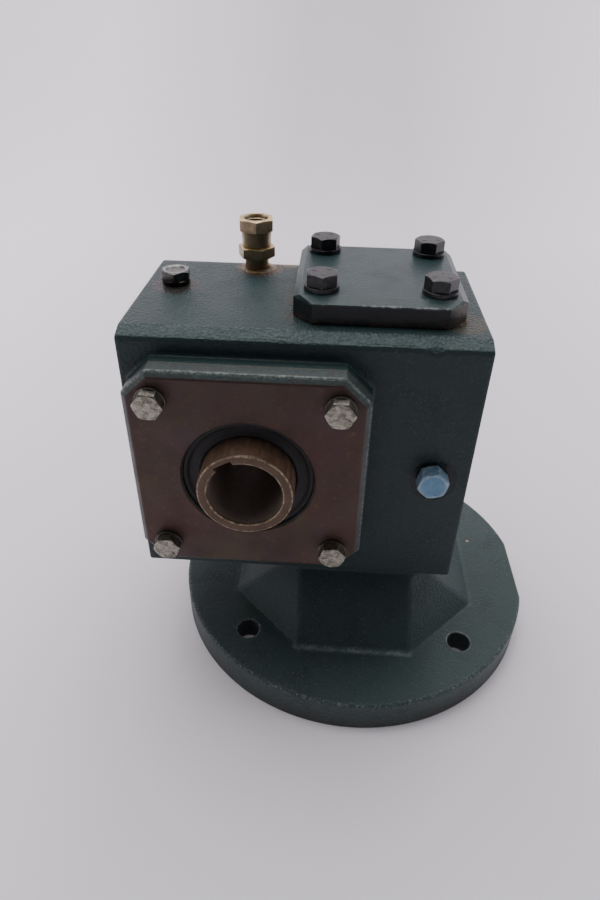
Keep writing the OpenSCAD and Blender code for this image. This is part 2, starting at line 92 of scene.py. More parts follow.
def make(name, bm):
    bmesh.ops.remove_doubles(bm, verts=bm.verts, dist=1e-7)
    bmesh.ops.recalc_face_normals(bm, faces=bm.faces)
    me = bpy.data.meshes.new(name)
    bm.to_mesh(me)
    bm.free()
    return add(name, me)


def loft(rows, capped=True, ring=True):
    """A skin through rows of points (mm); a ring row is a closed outline, and caps close both ends."""
    bm = bmesh.new()
    rows = [[bm.verts.new(Vector(p) * MM) for p in row] for row in rows]
    n = len(rows[0])
    for a, b in zip(rows, rows[1:]):
        for i in range(n if ring else n - 1):
            j = (i + 1) % n
            bm.faces.new((a[i], a[j], b[j], b[i]))
    if capped:
        bm.faces.new(rows[0])
        bm.faces.new(rows[-1])
    return bm


def prism(name, pts, axis, a, b):
    """A straight prism: outline pts across axis, from a to b along it."""
    return make(name, loft([[place(u, v, w, axis) for u, v in pts] for w in (a, b)]))


def lathe(name, profile, centre=(0, 0, 0), axis="z", seg=96, closed=True):
    """profile: (radius, height) pairs round the given axis through centre."""
    turns = [2 * math.pi * i / seg for i in range(seg)]
    rows = []
    for r, h in profile:
        rows.append([off(centre, *place(r * math.cos(t), r * math.sin(t), h, axis)) for t in turns])
    return make(name, loft(rows + rows[:1] if closed else rows, False))


def solid_lathe(profile, centre=(0, 0, 0), axis="z", seg=96):
    """As lathe, for a profile that starts and ends on the axis."""
    return lathe("solid", profile, centre, axis, seg, False)


def cyl(r, a, b, centre=(0, 0, 0), axis="z", seg=64):
    return solid_lathe([(0, a), (r, a), (r, b), (0, b)], centre, axis, seg)


def boolean(ob, cutter, op="DIFFERENCE"):
    m = ob.modifiers.new("b", "BOOLEAN")
    m.operation, m.object, m.solver = op, cutter, "EXACT"
    dg = bpy.context.evaluated_depsgraph_get()
    me = bpy.data.meshes.new_from_object(ob.evaluated_get(dg))
    ob.modifiers.clear()
    old, ob.data = ob.data, me
    bpy.data.meshes.remove(old)
    drop(cutter)
    return ob


def bore(ob, *size):
    """Drills a cylinder, given as for cyl, out of a piece."""
    boolean(ob, cyl(*size))


def drop(ob):
    me = ob.data
    bpy.data.objects.remove(ob)
    bpy.data.meshes.remove(me)


def join(name, obs):
    bm = bmesh.new()
    for o in obs:
        bm.from_mesh(o.data)
        drop(o)
    me = bpy.data.meshes.new(name)
    bm.to_mesh(me)
    bm.free()
    return add(name, me)


def bevel_edges(ob, width, seg, pick):
    """Rounds the edges that pick(edge) accepts; width in mm."""
    bm = bmesh.new()
    bm.from_mesh(ob.data)
    bm.normal_update()
    edges = [e for e in bm.edges if len(e.link_faces) == 2 and pick(e)]
    bmesh.ops.bevel(bm, geom=edges, offset=width * MM, segments=seg, profile=0.5, affect="EDGES",
                    clamp_overlap=True)
    bm.to_mesh(ob.data)
    bm.free()


def turn(e):
    """Angle between an edge's two faces, in degrees."""
    return math.degrees(e.link_faces[0].normal.angle(e.link_faces[1].normal, 0.0))


def mid(e):
    return (e.verts[0].co + e.verts[1].co) / 2 / MM


def way(e):
    return (e.verts[1].co - e.verts[0].co).normalized()


def spin(deg, axis="Z"):
    return Matrix.Rotation(math.radians(deg), 3, axis)


FACING_FRONT = spin(90, "X")                # local Z to -Y


def put(ob, where, turned=Matrix.Identity(3)):
    """Moves a mesh made round the origin to where, after turning it."""
    ob.data.transform(Matrix.Translation(Vector(where) * MM) @ turned.to_4x4())
    return ob


def to_side(ob, side, y=0.0):
    """Moves a piece made facing front to the output axis at y; side -1 turns it to face the rear."""
    return put(ob, (OUT_X, y, OUT_Z), spin(0 if side > 0 else 180))


def cut_rect(hx, hz, c, cx=0.0, cz=0.0):
    """Rectangle round (cx, cz) with its four corners cut off by c."""
    return [(cx + hx - c, cz - hz), (cx + hx, cz - hz + c), (cx + hx, cz + hz - c), (cx + hx - c, cz + hz),
            (cx - hx + c, cz + hz), (cx - hx, cz + hz - c), (cx - hx, cz - hz + c), (cx - hx + c, cz - hz)]


def hex_body(af, low, high, cut=1.1, both=False):
    """Hexagon along Z with its corners turned off at the top, or at both ends."""
    r = af / 2 / math.cos(math.pi / 6)
    outline = [(r * math.cos(math.pi / 3 * i), r * math.sin(math.pi / 3 * i)) for i in range(6)]
    ob = prism("hex", outline, "z", low, high)
    bevel_edges(ob, 0.35, 3, lambda e: abs(way(e).z) > 0.9)
    wide, face = af * 0.64, af * 0.475
    prof = [(0, high), (face, high), (face + 0.3, high - 0.06), (wide, high - cut)]
    if both:
        prof += [(wide, low + cut), (face + 0.3, low + 0.06), (face, low), (0, low)]
    else:
        prof += [(wide, low - 1), (0, low - 1)]
    return boolean(ob, solid_lathe(prof), "INTERSECT")


def smooth(ob, angle, weighted=True):
    """Shades a piece smooth across the edges that turn by less than angle."""
    for p in ob.data.polygons:
        p.use_smooth = True
    ob.data.set_sharp_from_angle(angle=math.radians(angle))
    if weighted:
        w = ob.modifiers.new("wn", "WEIGHTED_NORMAL")
        w.keep_sharp, w.weight = True, 80


def dress(ob, look, nodes, angle=32.0, body="housing"):
    """Smooths a finished piece, paints it, gives it its body and hides the CAD nodes that it stands for."""
    smooth(ob, angle)
    ob.data.materials.clear()
    ob.data.materials.append(M[look])
    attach(ob, body)
    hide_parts(*nodes)


# ---------------------------------------------------------------- node helpers
class Tree:
    """A material's node tree; lengths are in mm, and values are numbers, colours or node outputs."""

    def __init__(self, name):
        self.m = bpy.data.materials.new(name)
        self.m.use_nodes = True
        self.t = self.m.node_tree
        self.bsdf = self.t.nodes["Principled BSDF"]
        self.co = self.node("ShaderNodeTexCoord").outputs["Object"]
        split = self.node("ShaderNodeSeparateXYZ")
        self.link(self.co, split.inputs[0])
        self.x, self.y, self.z = split.outputs

    def node(self, kind, **props):
        n = self.t.nodes.new(kind)
        for k, v in props.items():
            setattr(n, k, v)
        return n

    def link(self, a, b):
        self.t.links.new(a, b)

    def feed(self, socket, v):
        if isinstance(v, (int, float)):
            socket.default_value = v
        elif isinstance(v, tuple):
            socket.default_value = (*v, 1.0)
        else:
            self.link(v, socket)

    def math(self, op, a, b=0.0):
        n = self.node("ShaderNodeMath", operation=op)
        self.feed(n.inputs[0], a)
        self.feed(n.inputs[1], b)
        return n.outputs[0]

    def fold(self, op, first, *rest):
        for v in rest:
            first = self.math(op, first, v)
        return first

    def times(self, *values):
        return self.fold("MULTIPLY", *values)

    def plus(self, *values):
        return self.fold("ADD", *values)

    def higher(self, *values):
        return self.fold("MAXIMUM", *values)

    def mapped(self, scale=(1, 1, 1), loc=(0, 0, 0), rot=(0, 0, 0)):
        n = self.node("ShaderNodeMapping")
        for key, v in (("Scale", scale), ("Location", loc), ("Rotation", rot)):
            n.inputs[key].default_value = v
        self.link(self.co, n.inputs["Vector"])
        return n.outputs["Vector"]

    def noise(self, scale, detail, rough, distort=0.0, shift=None, co=None):
        n = self.node("ShaderNodeTexNoise")
        for key, v in (("Scale", scale), ("Detail", detail), ("Roughness", rough), ("Distortion", distort)):
            n.inputs[key].default_value = v
        self.link(self.mapped(loc=shift) if shift else co or self.co, n.inputs["Vector"])
        return n.outputs["Fac"]

    def ramp(self, value, start, full, top=1.0, base=0.0):
        """base up to start, top from full on, straight in between."""
        n = self.node("ShaderNodeValToRGB")
        for e, at, level in zip(n.color_ramp.elements, (start, full), (base, top)):
            e.position, e.color = at, (level, level, level, 1.0)
        self.link(value, n.inputs["Fac"])
        return n.outputs["Color"]

    def patches(self, scale, detail, rough, start, full, top=1.0, base=0.0, shift=None):
        """Noise pushed through a ramp."""
        return self.ramp(self.noise(scale, detail, rough, shift=shift), start, full, top, base)

    def mix(self, fac, a, b):
        n = self.node("ShaderNodeMix", data_type="RGBA")
        for i, v in ((0, fac), (6, a), (7, b)):
            self.feed(n.inputs[i], v)
        return n.outputs[2]

    def over(self, color, paint, *masks):
        """Lays paint over color as far as the masks' product allows."""
        return self.mix(self.times(*masks), color, paint)

    def rise(self, value, lo, hi):
        """0 up to lo, 1 from hi on, of a length."""
        m = self.node("ShaderNodeMapRange", clamp=True)
        self.link(value, m.inputs["Value"])
        m.inputs["From Min"].default_value = lo * MM
        m.inputs["From Max"].default_value = hi * MM
        return m.outputs["Result"]

    def fall(self, value, lo, hi):
        """1 up to lo, 0 from hi on, of a length."""
        return self.rise(value, hi, lo)

    def band(self, value, low, high, soft):
        """1 between low and high, falling to 0 within soft outside them."""
        return self.times(self.rise(value, low - soft, low), self.fall(value, high, high + soft))

    def near(self, p, r, soft):
        """1 near point p, falling to 0 beyond r + soft."""
        n = self.node("ShaderNodeVectorMath", operation="DISTANCE")
        self.link(self.co, n.inputs[0])
        n.inputs[1].default_value = Vector(p) * MM
        return self.fall(n.outputs["Value"], max(r - soft, 0.0), r + soft)

    def off_axis(self, centre, axis):
        """Distance from the line through centre along axis."""
        keep = tuple(0 if a == axis else 1 for a in "xyz")
        shift = tuple(-v * MM * k for v, k in zip(centre, keep))
        n = self.node("ShaderNodeVectorMath", operation="LENGTH")
        self.link(self.mapped(loc=shift, scale=keep), n.inputs[0])
        return n.outputs["Value"]

    def rod_x(self, y, z, r, soft):
        """1 near the line along X through (y, z), falling to 0 beyond r + soft."""
        return self.fall(self.off_axis((0, y, z), "x"), max(r - soft, 0.0), r + soft)

    def blot(self, p, r, soft, scale, amount):
        """A ragged stain round p."""
        fade = self.near(p, r, soft)
        ragged = self.plus(fade, self.times(self.plus(self.noise(scale, 5, 0.65), -0.5), amount * 2))
        return self.times(self.ramp(ragged, 0.42, 0.62), self.ramp(fade, 0.0, 0.15))

    def bump(self, height, strength, dist):
        n = self.node("ShaderNodeBump")
        n.inputs["Strength"].default_value = strength
        n.inputs["Distance"].default_value = dist
        self.link(height, n.inputs["Height"])
        return n.outputs["Normal"]

    def set(self, color, rough, normal, metal=0.0, spec=0.5):
        for key, v in (("Base Color", color), ("Roughness", rough), ("Normal", normal), ("Metallic", metal),
                       ("Specular IOR Level", spec)):
            self.feed(self.bsdf.inputs[key], v)
        return self.m


# ---------------------------------------------------------------- materials
def enamel(name, base, green, rough, grain, specks, finish):
    """Air-dried enamel over sand-cast iron: orange peel, casting lumps, darker patches and dust specks."""
    t = Tree(name)
    patch = t.noise(55, 5, 0.62, shift=(3, 1, 2))
    color = t.mix(t.patches(14, 4, 0.6, 0.35, 0.65), base, green)
    color = t.over(color, tuple(v * 0.55 for v in base), t.ramp(patch, 0.5, 0.72), 0.45)
    dust = t.times(t.patches(900, 2, 0.5, 0.6, 0.68, shift=(1, 9, 4)), t.ramp(patch, 0.42, 0.6, base=0.3))
    color = t.over(color, tuple(v * 2.6 + 0.02 for v in base), dust, specks)
    ruff = t.plus(t.times(patch, 0.22), rough - 0.1)
    peel, lumps = t.noise(640, 2, 0.5), t.noise(95, 4, 0.55, shift=(2, 6, 1))
    grit = t.noise(1500, 2, 0.6, shift=(7, 2, 5))
    height = t.plus(t.times(peel, 0.75), t.times(grit, 0.3), t.times(lumps, 0.5))
    color, ruff, height = finish(t, color, ruff, height)
    return t.set(color, ruff, t.bump(height, 0.8 * grain, 0.001), spec=0.26)


def case_stains(t, color, ruff, height):
    """Oil round the plugs and the vent, rust and sealant at the vent; a painted highlight over worn paint
    along the long crease, a painted sheen on the bevel, and painted shade on the front face.
    """
    face, top = CASE["front"], CASE["top"]
    fill = t.blot(off(FILL, 1, -4), 13, 6, 140, 0.5)
    vent = t.blot(off(VENT, 2), 13, 5, 170, 0.5)
    wet = t.blot(off(VENT, 0, -25), 9, 6, 90, 0.3)
    drip = t.blot(off(LEVEL, 1, 0, -3), 12.5, 3, 120, 0.35)
    smear = t.blot(off(VENT, 17, 9), 7, 5, 120, 0.5)
    cover_dirt = t.blot((41, -34, top), 12, 5, 150, 0.5)
    for mask, amount, paint in ((fill, 0.8, (0.02, 0.013, 0.01)), (vent, 0.6, (0.16, 0.07, 0.035)),
                                (wet, 0.5, (0.016, 0.055, 0.06)), (drip, 0.75, (0.012, 0.012, 0.013)),
                                (smear, 0.6, (0.28, 0.19, 0.11)), (cover_dirt, 0.5, (0.1, 0.075, 0.045))):
        color = t.over(color, paint, mask, amount)
    # painted highlight along the bevel's upper crease, laid over worn paint
    crease_highlight_and_wear = t.rod_x(face + 8.2, top, 1.0, 0.8)
    color = t.over(color, (0.24, 0.28, 0.28), crease_highlight_and_wear, t.patches(800, 4, 0.7, 0.52, 0.62, 0.6))
    # the bevel painted lighter in flecks: a painted sheen
    bevel = t.times(t.band(t.z, top - 2.7, top - 0.45, 0.3), t.fall(t.y, face + 8, face + 9))
    bevel_sheen_flecks = t.patches(700, 4, 0.65, 0.42, 0.64, 0.9, base=0.25, shift=(6, 3, 8))
    color = t.over(color, (0.088, 0.122, 0.122), bevel, bevel_sheen_flecks)
    beside = t.times(t.band(t.x, -46, -41, 1.8), t.band(t.y, -38, 30, 6))
    color = t.over(color, (0.06, 0.038, 0.026), beside, t.patches(220, 5, 0.65, 0.44, 0.62, 0.8))
    # the front face painted darker: painted shade; its bump is weakened too
    front = t.fall(t.y, face + 0.2, face + 0.9)
    color = t.over(color, (0.008, 0.01, 0.011), front, 0.32)
    seam = t.rod_x(face + 1.9, top - 2.3, 0.35, 0.25)
    color = t.over(color, (0.008, 0.012, 0.012), seam, t.patches(45, 3, 0.5, 0.48, 0.56, 0.7))
    ruff = t.plus(ruff, t.times(t.higher(fill, vent, drip), -0.16))
    height = t.plus(height, t.times(drip, -0.5))
    return color, ruff, t.times(height, t.plus(t.times(front, -0.7), 1.0))


def cover_grime_and_shade(t, color, ruff, height):
    """Sides of the top cover darkened as painted shade, browner low down, with bare scuffs on the upper edge.
    """
    # the sides painted nearly black: painted shade
    side = t.fall(t.z, TOP_EDGE - 0.9, TOP_EDGE + 0.1)
    color = t.over(color, (0.01, 0.0095, 0.011), side, 0.85)
    low = t.fall(t.z, CASE["top"] + 0.8, CASE["top"] + 4.5)
    color = t.over(color, (0.07, 0.045, 0.028), low, t.patches(200, 5, 0.65, 0.42, 0.62, 0.8))
    color = t.over(color, (0.1, 0.075, 0.06), side, t.rise(t.x, 33, 37), 0.6)
    edge = t.times(t.rise(t.z, TOP_EDGE - 0.7, TOP_EDGE - 0.2), t.fall(t.z, TOP_EDGE + 0.1, TOP_EDGE + 0.5))
    return t.over(color, (0.28, 0.3, 0.3), edge, t.patches(160, 5, 0.7, 0.49, 0.62, 0.6)), ruff, height


def flange_film_and_highlights(t, color, ruff, height):
    """Brown film low on the rim; a painted highlight along its edge; a lighter strip along the pedestal's
    foot, strongest at the front; a painted highlight over worn paint on the bolt holes' lips; a chip.
    """
    film = t.times(t.fall(t.z, 2, 17), t.patches(60, 5, 0.6, 0.3, 0.7, 0.8, base=0.2))
    color = t.over(color, (0.05, 0.036, 0.026), film, 0.6)
    # painted highlight along the rim's upper edge, broken into speckles
    rim = t.times(t.rise(t.z, 19.2, 20.6), t.fall(t.z, 21.6, 22.4))
    outer = t.rise(t.off_axis((0, 0, 0), "z"), 111.6, 113.2)
    color = t.over(color, (0.3, 0.32, 0.31), rim, outer, t.patches(700, 4, 0.7, 0.5, 0.66, 0.55))
    # lighter strip along the pedestal's foot, strongest at the front
    ax, ay = t.math("ABSOLUTE", t.x), t.math("ABSOLUTE", t.y)
    square = t.plus(t.higher(ax, ay), -PED_FOOT * MM)
    corner = t.times(t.plus(ax, ay, -(PED_FOOT + PED_FACET) * MM), math.sqrt(0.5))
    foot = t.higher(square, corner)
    strip = t.times(t.rise(foot, -1.6, 0.2), t.fall(foot, 1.2, 3.2))
    strip = t.times(strip, t.fall(t.z, FLANGE_T + 1.2, FLANGE_T + 3.0))
    strip = t.times(strip, t.patches(300, 4, 0.65, 0.38, 0.62, 0.85, base=0.25))
    front = t.times(t.fall(t.y, -60, -45), t.fall(ax, 33, 38))
    color = t.over(color, (0.2, 0.25, 0.25), strip, t.plus(t.times(front, 0.85), 0.15))
    color = t.over(color, (0.45, 0.3, 0.25), t.near(CHIP, 1.0, 0.3))
    for i, j in CORNERS:
        # painted highlight over worn paint on each bolt hole's lip
        lip = t.band(t.off_axis((i * BOLT_AT, j * BOLT_AT, 0), "z"), 6.9, 7.5, 0.4)
        lip = t.times(lip, t.rise(t.z, FLANGE_T - 1.6, FLANGE_T - 0.8))
        color = t.over(color, (0.3, 0.3, 0.28), lip, t.patches(420, 4, 0.7, 0.42, 0.6, 0.7, base=0.1))
    return color, t.plus(ruff, t.times(film, 0.15)), height


def oiled_iron(name, side):
    """Machined cast iron browned by oil, its outer edges still under paint, with a painted highlight along
    the crease behind the chamfer; side 1 is the front cover.
    """
    t = Tree(name)
    color = t.mix(t.patches(22, 4, 0.6, 0.36, 0.64), (0.066, 0.029, 0.02), (0.043, 0.023, 0.018))
    tint = t.noise(30, 5, 0.65, 0.6, shift=(4, 4, 1))
    color = t.over(color, (0.06, 0.028, 0.035), t.ramp(tint, 0.5, 0.62, 0.45))
    moss = t.noise(26, 5, 0.6, 0.4, shift=(9, 1, 7))
    color = t.over(color, (0.062, 0.044, 0.017), t.ramp(moss, 0.5, 0.62, 0.6))
    color = t.over(color, (0.15, 0.055, 0.02), t.patches(300, 6, 0.7, 0.58, 0.7, 0.6))
    pits = t.noise(900, 3, 0.6, shift=(5, 0, 2))
    color = t.over(color, (0.015, 0.012, 0.01), t.ramp(pits, 0.6, 0.72, 0.5))
    color = t.over(color, (0.018, 0.012, 0.01), t.rise(t.z, OUT_Z + 26, OUT_Z + 54), 0.4)
    deep = t.times(t.plus(t.y, -(FRONT_FACE if side > 0 else REAR_FACE) * MM), side)
    paint = t.mix(t.patches(640, 3, 0.6, 0.5, 0.66, 0.5), (0.038, 0.054, 0.054), (0.088, 0.114, 0.114))
    worn = t.patches(210, 5, 0.65, 0.4, 0.62, base=0.7, shift=(2, 2, 2))
    color = t.over(color, paint, t.rise(deep, 0.2, 0.7), worn)
    # painted highlight along the crease where the chamfer meets the painted side
    crease = t.patches(600, 5, 0.7, 0.44, 0.62, 0.8)
    color = t.over(color, (0.21, 0.235, 0.225), t.band(deep, 2.3, 3.0, 0.5), crease)
    turned = t.node("ShaderNodeTexWave", wave_type="RINGS", rings_direction="Y")
    t.link(t.mapped(loc=(-OUT_X * MM, 0, -OUT_Z * MM)), turned.inputs["Vector"])
    turned.inputs["Scale"].default_value = 240
    turned.inputs["Distortion"].default_value = 0.4
    lumps = t.noise(240, 4, 0.6)
    height = t.plus(t.times(pits, 0.8), t.times(turned.outputs["Fac"], 0.12), t.times(lumps, 0.5))
    return t.set(color, t.patches(70, 5, 0.6, 0.3, 0.7, 0.6, base=0.4), t.bump(height, 0.45, 0.0004), 0.3)


def steel(name, base, tarnish, rough, metal=1.0, amount=0.5, scale=240, bump=0.25):
    """Bare or plated steel: blotches of tarnish, fine scratches and varied gloss."""
    t = Tree(name)
    blotch = t.noise(scale, 6, 0.68)
    color = t.mix(t.times(t.ramp(blotch, 0.42, 0.62), amount), base, tarnish)
    fine = t.patches(2200, 3, 0.6, 0.35, 0.6, 0.0, base=0.22)
    color = t.over(color, tuple(v * 0.45 for v in tarnish), fine)
    scratch = t.noise(500, 4, 0.6, co=t.mapped(scale=(1, 6, 0.5), rot=(0.4, 0.3, 0.7)))
    ruff = t.plus(t.times(blotch, 0.26), rough - 0.13, t.times(scratch, 0.08))
    return t.set(color, ruff, t.bump(t.plus(blotch, t.times(scratch, 0.5)), bump, 0.0002), metal)


def black_oxide(name):
    """Blackened steel, its top faces and upper corners rubbed back to grey metal, with a painted highlight on
    them.
    """
    t = Tree(name)
    blotch = t.noise(330, 6, 0.68)
    color = t.mix(t.ramp(blotch, 0.36, 0.66), (0.028, 0.028, 0.032), (0.06, 0.058, 0.058))
    seat = TOP_FLAT + SPLIT_WASHER
    # painted highlight over the rubbed tops: lighter grey from just below the top face up
    rubbed = t.patches(420, 6, 0.7, 0.34, 0.62, base=0.35)
    color = t.over(color, (0.06, 0.06, 0.062), t.rise(t.z, seat + 4.7, seat + 5.9), rubbed)
    return t.set(color, t.plus(t.times(blotch, 0.25), 0.24), t.bump(blotch, 0.4, 0.0003), 0.85)


def chromed_plug(name):
    """Plated plug: bright turned rim, greyer dished top, oily dark flanks."""
    t = Tree(name)
    blotch = t.noise(260, 6, 0.66)
    color = t.mix(t.ramp(blotch, 0.38, 0.64), (0.13, 0.13, 0.128), (0.055, 0.052, 0.045))
    rim = t.times(t.rise(t.z, FILL[2] + 6.0, FILL[2] + 6.9), t.band(t.off_axis(FILL, "z"), 5.3, 6.3, 0.3))
    color = t.over(color, (0.26, 0.26, 0.255), rim)
    color = t.over(color, (0.025, 0.018, 0.014), t.fall(t.z, FILL[2] + 0.6, FILL[2] + 3.2), 0.85)
    return t.set(color, t.plus(t.times(blotch, 0.22), 0.14), t.bump(blotch, 0.3, 0.0002), 0.95)


def worn_shaft(name):
    """Hollow shaft under a brown film, bright and speckled on its worn end rims."""
    t = Tree(name)
    blotch = t.noise(120, 6, 0.65)
    color = t.mix(t.ramp(blotch, 0.36, 0.66), (0.2, 0.115, 0.075), (0.1, 0.06, 0.042))
    streak = t.noise(300, 5, 0.65, co=t.mapped(scale=(1, 0.15, 1)))
    color = t.over(color, (0.3, 0.2, 0.12), t.ramp(streak, 0.5, 0.68, 0.6))
    front = t.fall(t.y, SHAFT_FRONT + 1.0, SHAFT_FRONT + 2.2)
    end = t.higher(front, t.rise(t.y, SHAFT_BACK - 2.2, SHAFT_BACK - 1.0))
    radius = t.off_axis((OUT_X, 0, OUT_Z), "y")
    rims = t.higher(t.band(radius, 22.9, 23.3, 0.3), t.band(radius, 18.8, 19.2, 0.3))
    worn = t.times(end, rims, t.patches(420, 6, 0.72, 0.42, 0.62, 0.9, base=0.05))
    color = t.over(color, (0.07, 0.045, 0.027), end, 0.8)
    color = t.over(color, (0.48, 0.36, 0.23), worn)
    color = t.over(color, (0.29, 0.24, 0.21), t.fall(radius, 18.3, 18.5), 0.8)
    color = t.over(color, (0.05, 0.03, 0.02), t.patches(1500, 2, 0.5, 0.62, 0.7, 0.7))
    ruff = t.plus(t.ramp(blotch, 0.3, 0.7, 0.6, base=0.36), t.times(worn, -0.08))
    return t.set(color, ruff, t.bump(t.plus(blotch, t.times(streak, 0.4)), 0.45, 0.0004), 0.45)


def rubber(name):
    """Nitrile rubber with an oily sheen and dust in the creases."""
    t = Tree(name)
    film, grit = t.noise(90, 4, 0.6), t.noise(1200, 3, 0.6)
    color = t.mix(t.ramp(film, 0.4, 0.7), (0.012, 0.012, 0.013), (0.03, 0.026, 0.03))
    color = t.over(color, (0.12, 0.1, 0.085), t.ramp(grit, 0.62, 0.72, 0.5))
    return t.set(color, t.ramp(film, 0.3, 0.7, 0.8, base=0.6), t.bump(grit, 0.25, 0.0002))


def fibre(name):
    """Thin gasket board, oil-soaked, with a fibrous cut edge."""
    t = Tree(name)
    fibres = t.noise(900, 5, 0.7, co=t.mapped(scale=(1, 1, 3)))
    color = t.mix(t.ramp(fibres, 0.35, 0.65), (0.03, 0.024, 0.02), (0.1, 0.075, 0.05))
    return t.set(color, t.ramp(fibres, 0.3, 0.7, 0.85, base=0.6), t.bump(fibres, 0.5, 0.0003))


def blue_paint(name):
    """Light blue paint brushed over a steel plug, worn pale round its face and darker on its flanks."""
    t = Tree(name)
    wash = t.noise(130, 5, 0.6)
    color = t.mix(t.ramp(wash, 0.35, 0.66), (0.08, 0.2, 0.34), (0.135, 0.29, 0.43))
    chips = t.plus(t.times(t.patches(420, 6, 0.7, 0.52, 0.6), 0.5), 0.25)
    color = t.over(color, (0.62, 0.66, 0.68), t.rise(t.off_axis(LEVEL, "y"), 5.6, 6.8), chips)
    color = t.over(color, (0.06, 0.13, 0.2), t.rise(t.y, LEVEL[1] - 8.9, LEVEL[1] - 7.9), 0.5)
    color = t.over(color, (0.06, 0.07, 0.08), t.patches(700, 5, 0.6, 0.6, 0.7, 0.6))
    return t.set(color, t.ramp(wash, 0.3, 0.7, 0.48, base=0.32), t.bump(wash, 0.35, 0.0003))


def old_brass(name):
    """Dark bronze patina, rubbed to bright brass on the upper rims, rusty at the foot."""
    t = Tree(name)
    blotch = t.noise(230, 6, 0.66)
    color = t.mix(t.ramp(blotch, 0.36, 0.64), (0.36, 0.265, 0.17), (0.21, 0.175, 0.11))
    for rim, reach in ((VENT[2] + 28, 1.0), (VENT[2] + 12.9, 0.6)):
        worn = t.times(t.rise(t.z, rim - reach, rim - reach * 0.3), t.fall(t.z, rim + 0.15, rim + 0.5))
        color = t.over(color, (0.78, 0.58, 0.3), worn, t.patches(500, 5, 0.7, 0.36, 0.6, base=0.3))
    foot = t.fall(t.z, VENT[2] + 1.0, VENT[2] + 5.0)
    color = t.over(color, (0.42, 0.17, 0.08), foot, t.patches(380, 6, 0.7, 0.4, 0.58, 0.9))
    return t.set(color, t.ramp(blotch, 0.3, 0.7, 0.5, base=0.28), t.bump(blotch, 0.3, 0.0003), 0.85)


def putty(name):
    """Set sealant squeezed out of a joint, cream going to brown."""
    t = Tree(name)
    blotch = t.noise(320, 5, 0.65)
    color = t.mix(t.ramp(blotch, 0.36, 0.64), (0.34, 0.25, 0.14), (0.14, 0.075, 0.04))
    return t.set(color, 0.5, t.bump(blotch, 0.5, 0.0005))


def glowing_floor_sheet(name):
    """Plain white sheet that glows as painted light, faintly at the centre and more towards both sides."""
    t = Tree(name)
    aside = t.rise(t.math("ABSOLUTE", t.x), 120, 560)
    # the sheet's glow: painted light, stronger towards both sides
    t.link(t.mix(aside, (0.07, 0.06, 0.07), (0.5, 0.455, 0.5)), t.bsdf.inputs["Emission Color"])
    t.bsdf.inputs["Emission Strength"].default_value = 1.0
    return t.set((0.88, 0.835, 0.875), 0.75, t.bump(t.noise(260, 4, 0.6), 0.08, 0.0005))


LOOKS = (
    ("case_paint", enamel, (0.022, 0.043, 0.045), (0.018, 0.044, 0.042), 0.37, 1.7, 0.45, case_stains),
    ("flange_paint", enamel, (0.043, 0.061, 0.063), (0.038, 0.065, 0.062), 0.44, 0.9, 0.45, flange_film_and_highlights),
    ("top_cover_paint", enamel, (0.026, 0.045, 0.048), (0.022, 0.048, 0.048), 0.32, 0.3, 0.2, cover_grime_and_shade),
    ("front_cover_iron", oiled_iron, 1),
    ("rear_cover_iron", oiled_iron, -1),
    ("gasket_fibre", fibre),
    ("zinc_steel", steel, (0.35, 0.335, 0.285), (0.09, 0.08, 0.062), 0.34, 1.0, 0.8, 420, 0.6),
    ("washer_steel", steel, (0.14, 0.13, 0.125), (0.06, 0.045, 0.035), 0.42),
    ("black_steel", black_oxide),
    ("seal_rubber", rubber),
    ("bearing_steel", steel, (0.66, 0.67, 0.68), (0.5, 0.48, 0.44), 0.2, 1.0, 0.25),
    ("output_shaft_steel", worn_shaft),
    ("hub_iron", steel, (0.24, 0.24, 0.25), (0.12, 0.1, 0.09), 0.5, 0.8, 0.6, 180, 0.5),
    ("wheel_bronze", steel, (0.66, 0.43, 0.19), (0.4, 0.25, 0.12), 0.28, 1.0, 0.4, 200),
    ("ground_steel", steel, (0.52, 0.52, 0.53), (0.34, 0.32, 0.29), 0.25, 1.0, 0.35),
    ("blue_plug_paint", blue_paint),
    ("plug_steel", chromed_plug),
    ("vent_brass", old_brass),
)
M = {name: maker(name, *rest) for name, maker, *rest in LOOKS}
PUTTY = putty("sealant")


# ---------------------------------------------------------------- castings
def case_section(x):
    """Outline of the case across X at x, its two long top creases wandering as the mould left them."""
    f, k, top, low = CASE["front"], CASE["back"], CASE["top"], CASE["bottom"]
    w = math.sin(0.067 * x + 1) + 0.6 * math.sin(0.19 * x) + 0.35 * math.sin(0.47 * x + 2)
    v = math.sin(0.083 * x + 4) + 0.5 * math.sin(0.23 * x + 1) + 0.4 * math.sin(0.61 * x)
    notch = 2.0 * math.exp(-((x - 26) / 2.4) ** 2)
    rest = 1.0 - sum(math.exp(-((x - CASE[end]) / 6) ** 2) for end in ("left", "right"))
    w, v = w * rest * 0.275, v * rest * 0.35
    front = [(f, low + 1.2), (f, top - 5.3 + w * 0.5 - notch), (f + 0.12, top - 4.4 + w * 0.6 - notch),
             (f + 0.5 + notch * 0.3, top - 3.5 + w * 0.6 - notch),
             (f + 1.3 + notch * 0.3, top - 2.75 + w * 0.4 - notch * 0.6), (f + 4.3, top - 1.53 + v * 0.1),
             (f + 7.0 + v, top - 0.42), (f + 7.9 + v, top - 0.12), (f + 8.9 + v, top)]
    back = [(k - 9.6 - v, top), (k - 8.3 - v, top - 0.06), (k - 6.9 - v, top - 0.32), (k - 4.3, top - 1.15),
            (k - 1.5, top - 2.25), (k - 0.55, top - 3.5), (k - 0.12, top - 4.6), (k, top - 5.6)]
    under = [(k, low + 1.2), (k - 0.35, low + 0.35), (k - 1.2, low), (f + 1.2, low), (f + 0.35, low + 0.35)]
    return front + back + under


